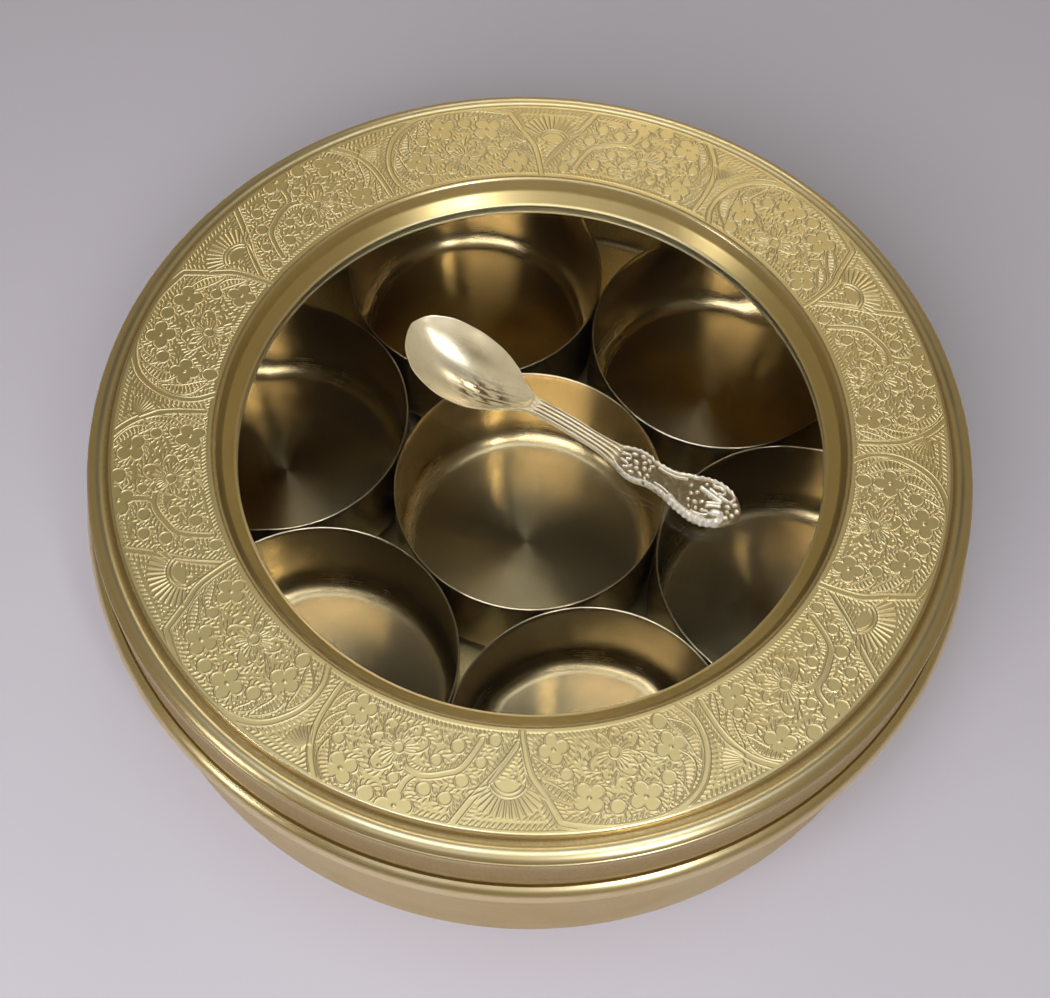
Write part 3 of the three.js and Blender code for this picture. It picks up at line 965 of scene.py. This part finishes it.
embossFinish = {
    "color": (0.80, 0.645, 0.30), "tarnish": (0.70, 0.54, 0.22), "bright": (0.97, 0.89, 0.68),
    "dirt": (0.74, 0.58, 0.28), "roughness": 0.38, "spread": 0.1, "fineness": 1500.0, "lines": 0.35,
    "blotches": 0.35, "wear": 0.7, "dullness": 0.0, "bump": 0.2, "brushed": 0,
}

makeLidEdges()
makeEmbossedRing()
print("lid made")


# ---- the spoon

silverFinish = {
    "color": (0.93, 0.84, 0.60), "tarnish": (0.72, 0.60, 0.36), "bright": (0.98, 0.95, 0.85),
    "dirt": (0.14, 0.09, 0.035), "roughness": 0.22, "bump": 0.3,
}

spoon = {
    "tip": (-31.7, 28.6),  # where the bowl's tip is
    "turn": -30.25,  # degrees from +X to the handle's end
    "length": 95.3,
    "sag": 3.6,  # how far it is bent sideways
    "bowlLength": 38,
    "bowlDepth": 4.9,
    "columns": 150,
    # distance from the tip, half width
    "halfWidth": [(0, 0), (2, 5.1), (5.4, 7.9), (9, 9.6), (15, 10.6), (20, 10.4), (25, 9.3), (30, 7.0),
                  (34, 4.3), (38.5, 2.3), (48, 2.1), (57, 2.1), (62, 2.8), (66, 4.1), (69, 4.2), (72.5, 3.5),
                  (76, 3.9), (81, 5.5), (86, 6.5), (90, 5.7), (93, 3.7), (95.3, 0)],
    # distance from the tip, height above the glass
    "height": [(0, 5.9), (19, 5.9), (38, 7.1), (48, 7.0), (57, 5.6), (66, 3.6), (80, 2.1), (95.3, 1.6)],
    # distance from the tip, thickness
    "thickness": [(0, 1.2), (30, 1.3), (40, 2.4), (60, 2.4), (80, 2.2), (95.3, 1.8)],
    # relief on the handle: distance from the tip and distance to the side
    "border": {"height": 0.9, "halfWidth": 1.0, "points": [
        (78.5, -3.6), (80.6, -4.6), (84.4, -5.4), (88.2, -5.4), (90.6, -4.5), (91.5, -3.1), (90.7, -1.9),
        (89.3, -2.2)]},
    "scrolls": [
        # height, half width, points
        (0.6, 0.42, [(80.9, 4.3), (83, 5.3), (86.5, 5.9), (89.8, 5.2), (91.7, 3.9), (91.5, 2.6)]),
        (0.5, 0.36, [(86, 4.6), (87.5, 4.9), (88.9, 4.3), (88.9, 3.4), (87.9, 3.2)]),
        (0.7, 0.55, [(83.6, 2.6), (86.2, 2.0), (89.3, 1.4)]),
        (0.5, 0.4, [(85.5, 3.4), (87.6, 2.8)]),
        (0.5, 0.4, [(88.4, 2.7), (90.8, 2.3)]),
        (0.45, 0.3, [(86.9, -1.1), (88.4, -0.3), (89.8, 0.2)]),
        (0.45, 0.3, [(86.5, -0.4), (88.2, 0.5), (89.5, 0.8)]),
        (0.45, 0.33, [(84.5, -4.2), (86.3, -4.1), (87.9, -3.6), (88.2, -2.8), (87.3, -2.5)]),
        (0.6, 0.4, [(71.2, 3.1), (73.4, 2.9), (76.4, 3.0), (79, 3.9), (80.9, 4.6)]),
        (0.4, 0.3, [(72.4, 2.2), (74.6, 2.0), (77, 2.2), (79.6, 3.1)]),
        (0.55, 0.4, [(71.4, -2.9), (73.6, -3.0), (76, -3.3), (78.6, -4.1)]),
        (0.35, 0.25, [(73.5, -2.0), (75.5, -2.1), (77.5, -2.7), (79.4, -3.2)]),
        (0.5, 0.36, [(62.8, 2.3), (64.4, 3.1), (66.6, 3.8), (69, 3.8), (70.6, 3.2)]),
        (0.5, 0.36, [(62.8, -2.3), (64.4, -3.1), (66.6, -3.8), (69, -3.8), (70.8, -3.2)]),
        (0.45, 0.3, [(63.4, 0.9), (65, 1.3), (65.6, 0.5), (64.8, 0.1)]),
        (0.45, 0.3, [(63.8, -0.7), (65.4, -0.9), (66, -1.7), (65.1, -2.2)]),
    ],
    # distance from the tip, distance to the side, half length, half width, turn in degrees, height
    "leaves": [
        (65.9, 2.2, 0.9, 0.45, 20, 0.5), (67.9, 2.8, 0.8, 0.42, 5, 0.55),
        (69.6, 2.5, 0.8, 0.4, -15, 0.5), (67.2, 0.5, 0.9, 0.45, -10, 0.6),
        (69.0, 1.4, 0.7, 0.4, 30, 0.5), (69.7, 0.1, 0.7, 0.45, 0, 0.55),
        (71.0, 1.6, 0.8, 0.35, 30, 0.4), (66.6, -1.1, 0.6, 0.4, 40, 0.5),
        (68.0, -0.9, 0.7, 0.4, 15, 0.5), (67.4, -2.5, 0.9, 0.42, 20, 0.5),
        (69.4, -1.8, 0.8, 0.42, -20, 0.55), (71.2, -1.2, 0.7, 0.36, 0, 0.45),
        (71.0, -2.3, 0.6, 0.36, -30, 0.4), (70.9, 0.5, 0.5, 0.32, 0, 0.4),
        (73.6, -2.9, 0.5, 0.34, 80, 0.35), (75.2, -3.0, 0.55, 0.36, 75, 0.4),
        (76.8, -3.5, 0.55, 0.36, 70, 0.4), (78.3, -3.9, 0.5, 0.34, 70, 0.35),
        (74.4, 3.1, 0.5, 0.32, -75, 0.3), (76.2, 3.3, 0.5, 0.32, -75, 0.3),
        (78.1, 3.9, 0.5, 0.32, -70, 0.3), (82.1, 0.2, 0.6, 0.36, 10, 0.4),
        (83.3, 1.1, 0.65, 0.36, 25, 0.45), (82.4, -1.6, 0.6, 0.36, 0, 0.4),
        (84.0, -1.4, 0.75, 0.4, 0, 0.45), (85.4, -0.6, 0.7, 0.34, 20, 0.4),
        (85.0, -2.8, 0.6, 0.38, -30, 0.4), (86.6, -2.6, 0.6, 0.34, 10, 0.4),
        (83.3, -3.2, 0.5, 0.34, -30, 0.35), (81.2, 2.2, 0.6, 0.3, 25, 0.3),
        (84.2, 4.2, 0.5, 0.34, 20, 0.4), (85.6, 5.0, 0.5, 0.3, 20, 0.35),
        (91.4, 1.0, 0.8, 0.5, 0, 0.6), (92.6, 2.3, 0.8, 0.55, 30, 0.6),
        (93.9, 0.9, 0.75, 0.6, 0, 0.65), (93.4, -0.7, 0.75, 0.55, -20, 0.6),
        (92.5, -1.9, 0.7, 0.5, -40, 0.55), (91.9, -0.3, 0.6, 0.4, 0, 0.5),
    ],
}


# A value along the spoon: the smooth line through its stations, read off at each distance.
def alongSpoon(stations, distance):
    path = smoothPath(stations, 12)
    return np.interp(distance, path[:, 0], path[:, 1])


# The half width, whose line meets both ends of the spoon square on, because it is continued in mirror.
def halfWidthOf(distance):
    stations = spoon["halfWidth"]
    ends = [(stations[1][0], -stations[1][1])], [(stations[-2][0], -stations[-2][1])]
    path = smoothPath(ends[0] + stations + ends[1], 24)[24:-24]
    return np.interp(distance, path[:, 0], path[:, 1])


# Height of the handle's relief over its plain top. Ribs run down the shank as a cosine across it. The
# broad end's ground is lowered, and on it scrolls and leaves are round-topped: 1.5 * height *
# sqrt(1 - (distance / half width)^2). Its rim is raised by a sine along the edge.
def handleRelief(distance, side, share):
    shank = ease(distance, 37.5, 41) * (1 - ease(distance, 60.5, 64))
    relief = shank * (0.6 * np.abs(np.cos(np.pi * 2 * share)) ** 0.7 - 0.42)
    chased = ease(distance, 61.5, 64.5)
    relief = relief - 0.26 * chased
    swell = np.zeros(distance.shape)
    for height, halfWidth, points in spoon["scrolls"] + [tuple(spoon["border"].values())]:
        gap = strokeField(distance, side, smoothPath(points), 0, 2)[0] / halfWidth
        np.maximum(swell, height * np.sqrt(np.clip(1 - gap**2, 0, 1)), out=swell)
    for at, off, length, breadth, turn, height in spoon["leaves"]:
        turn = math.radians(turn)
        dx, dy = distance - at, side - off
        u = (dx * math.cos(turn) + dy * math.sin(turn)) / length
        v = (dy * math.cos(turn) - dx * math.sin(turn)) / breadth
        np.maximum(swell, height * np.sqrt(np.clip(1 - u**2 - v**2, 0, 1)), out=swell)
    # a scalloped edge
    scallop = 0.55 + 0.45 * np.sin(distance * 3.9 + np.where(side < 0, 0, 2) + side)
    rim = chased * 0.5 * ease(np.abs(share), 0.76, 0.92) * (1 - ease(distance, 90, 92)) * scallop
    return relief + 1.5 * swell + rim, chased, shank


def makeSilver():
    material, tree, shader = emptyMaterial("oldSilver")
    where = addNode(tree, "ShaderNodeTexCoord").outputs["Object"]
    worn = addNode(tree, "ShaderNodeAttribute", attribute_name="worn").outputs["Fac"]
    grimeAndShade = addNode(tree, "ShaderNodeAttribute", attribute_name="grimeAndShade").outputs["Fac"]
    turn = math.radians(-spoon["turn"])
    turned = addNode(tree, "ShaderNodeMapping", {"Vector": where, "Rotation": (0, 0, turn)}).outputs[0]
    stretched = addNode(tree, "ShaderNodeMapping", {"Vector": turned, "Scale": (0.06, 1, 1)}).outputs[0]
    streaks = noise(tree, stretched, 1400.0, 4.0, 0.6)
    clouds = noise(tree, turned, 95.0, 5.0, 0.6, 1.2)
    spots = noise(tree, turned, 420.0, 4.0, 0.65, 0.8)
    color = mixColors(tree, mapRange(tree, clouds, 0.45, 0.72, 0, 0.45), (*silverFinish["color"], 1),
                      (*silverFinish["tarnish"], 1))
    color = mixColors(tree, mapRange(tree, streaks, 0.45, 0.8, 0, 0.3), color, (*silverFinish["tarnish"], 1))
    color = mixColors(tree, worn, color, (*silverFinish["bright"], 1))
    dark = compute(tree, "MULTIPLY", grimeAndShade, mapRange(tree, spots, 0.25, 0.55, 0.75, 1), True)
    color = mixColors(tree, dark, color, (*silverFinish["dirt"], 1))
    tree.links.new(color, shader.inputs["Base Color"])
    rough = compute(tree, "ADD", compute(tree, "MULTIPLY", streaks, 0.16), silverFinish["roughness"] - 0.08)
    rough = compute(tree, "SUBTRACT", rough, compute(tree, "MULTIPLY", worn, 0.1))
    rough = compute(tree, "ADD", rough, compute(tree, "MULTIPLY", dark, 0.14))
    tree.links.new(rough, shader.inputs["Roughness"])
    height = compute(tree, "MULTIPLY", streaks, 0.6)
    height = compute(tree, "ADD", height, compute(tree, "MULTIPLY", spots, 0.8))
    bump = addNode(tree, "ShaderNodeBump", {"Height": height, "Strength": silverFinish["bump"],
                                            "Distance": 0.00012})
    tree.links.new(bump.outputs[0], shader.inputs["Normal"])
    shader.inputs["Metallic"].default_value = 0.7
    return material


# One closed surface round the spoon. At each distance from the tip its section is a flat superellipse:
# side = half width * sin(q pi / 2), z = +-thickness / 2 * (1 - |side share|^4)^(1/4), lowered by the dish
# depth * sin(pi d / bowl)^0.7 * (1 - share^2), and the top has the handle's relief. The thickness tapers
# as a square root over the last 1.2 mm.
def makeSpoon():
    glassTop = spanOf("window_glass")["high"]
    length = spoon["length"]
    near = length * (1 - np.cos(np.linspace(0, 0.5, 150) * np.pi)) / 2
    far = np.concatenate([np.arange(near[-1] + 0.25, 61, 0.3), np.arange(61, 94.2, 0.13),
                          length - 1.1 * np.cos(np.linspace(0, np.pi / 2, 12))[:-1]])
    distance = np.concatenate([near[1:], far])[:, None]
    half = spoon["columns"] // 2
    q = np.linspace(1, -1, half + 1)
    share = np.sin(np.concatenate([q[:-1], -q[:-1]]) * np.pi / 2)[None, :]
    upper = np.arange(2 * half)[None, :] < half
    width = np.maximum(halfWidthOf(distance), 0.12)
    bumps = ease(distance, 70, 73) * (1 - ease(distance, 90, 93))
    width = width * (1 + 0.022 * bumps * np.sin(distance * 4.1 + 1.5 * np.sign(share)))
    taper = np.minimum(1, np.sqrt((length - distance) / 1.2 + 0.02))
    thick = alongSpoon(spoon["thickness"], distance) / 2 * taper
    bowl = np.clip(distance / spoon["bowlLength"], 0, 1)
    dish = spoon["bowlDepth"] * np.sin(np.pi * bowl) ** 0.7 * (1 - share**2)
    edge = (1 - share**4) ** 0.25
    side = width * share
    relief, chased, shank = handleRelief(distance + 0 * share, side, share + 0 * distance)
    fade = ease(1 - np.abs(share), 0, 0.05) * ease(length - distance, 0, 0.8)
    top = np.where(upper, 1, -1)
    z = alongSpoon(spoon["height"], distance) - dish + thick * edge * top + relief * fade * upper
    bent = side - spoon["sag"] * np.sin(np.pi * (distance / length) ** 0.75)
    turn = math.radians(spoon["turn"])
    points = np.stack([
        spoon["tip"][0] + distance * math.cos(turn) - bent * math.sin(turn),
        spoon["tip"][1] + distance * math.sin(turn) + bent * math.cos(turn),
        glassTop + z,
    ], axis=-1)
    rows, columns = share.shape[1], len(distance)
    index = np.arange(columns * rows).reshape(columns, rows)
    after = np.roll(index, -1, axis=1)
    quads = np.stack([index[:-1], after[:-1], after[1:], index[1:]], axis=-1).reshape(-1, 4)
    ends = points[[0, -1]].mean(axis=1)
    low, high = index.size, index.size + 1
    caps = [np.column_stack([after[0], index[0], np.full(rows, low)]),
            np.column_stack([index[-1], after[-1], np.full(rows, high)])]
    faces = [quads, np.concatenate(caps)]
    piece = makePiece("ornateSpoon", np.concatenate([points.reshape(-1, 3), ends]), faces, makeSilver())
    hollow = chased * 0.94 * ease(0.2 - relief, 0, 0.3)
    hollow += shank * 0.9 * ease(0.1 - relief, 0, 0.25)
    smears = 1.3 * np.exp(-(((distance - 25) / 7) ** 2) - ((side + 2.4) / 3.4) ** 2)
    streaks = np.sin(side * 3.7 + np.sin(distance * 0.55) * 1.3) + np.sin(side * 6.1 - distance * 0.7 + 1)
    patch = smears * ease(streaks + 0.9 * np.sin(distance * 0.9 + side), -0.2, 0.6)
    # painted reflection: a dark band along one side of the bowl's inner wall, where dark surroundings are
    # mirrored
    paintedReflection = 0.6 * np.exp(-(((distance - 17) / 7) ** 2) - ((side - 6.0) / 2.0) ** 2)
    # grime and painted shade: tarnish in the hollows of the relief and in smears on the bowl, the painted
    # reflection in the bowl, and the underside of the decorated end a little darker
    mask = np.where(upper, np.maximum.reduce([hollow, 1.4 * patch, paintedReflection]), 0.25 * chased)
    setAttribute(piece, "grimeAndShade", np.append(np.clip(mask, 0, 1), [0, 0]))
    setAttribute(piece, "worn", np.append(np.clip(relief * 2 * upper, 0, 1) * chased, [0, 0]))
    place(piece, "spoon", "old_silver", "spoon")


makeSpoon()
print("spoon made")


# ---- floor

def makeFloor():
    material, tree, shader = emptyMaterial("floorPaper")
    where = addNode(tree, "ShaderNodeTexCoord").outputs["Object"]
    tone = noise(tree, where, 3.0, 3.0)
    light, dark = studio["floorColor"], tuple(0.95 * c for c in studio["floorColor"])
    tree.links.new(mixColors(tree, tone, (*light, 1), (*dark, 1)), shader.inputs["Base Color"])
    shader.inputs["Roughness"].default_value = 0.8
    reach = studio["floorSize"] / 2 / mm
    corners = np.array([(-reach, -reach, 0), (reach, -reach, 0), (reach, reach, 0), (-reach, reach, 0)])
    floor = makePiece("floor", corners, [np.array([[0, 1, 2, 3]])], material)


makeFloor()
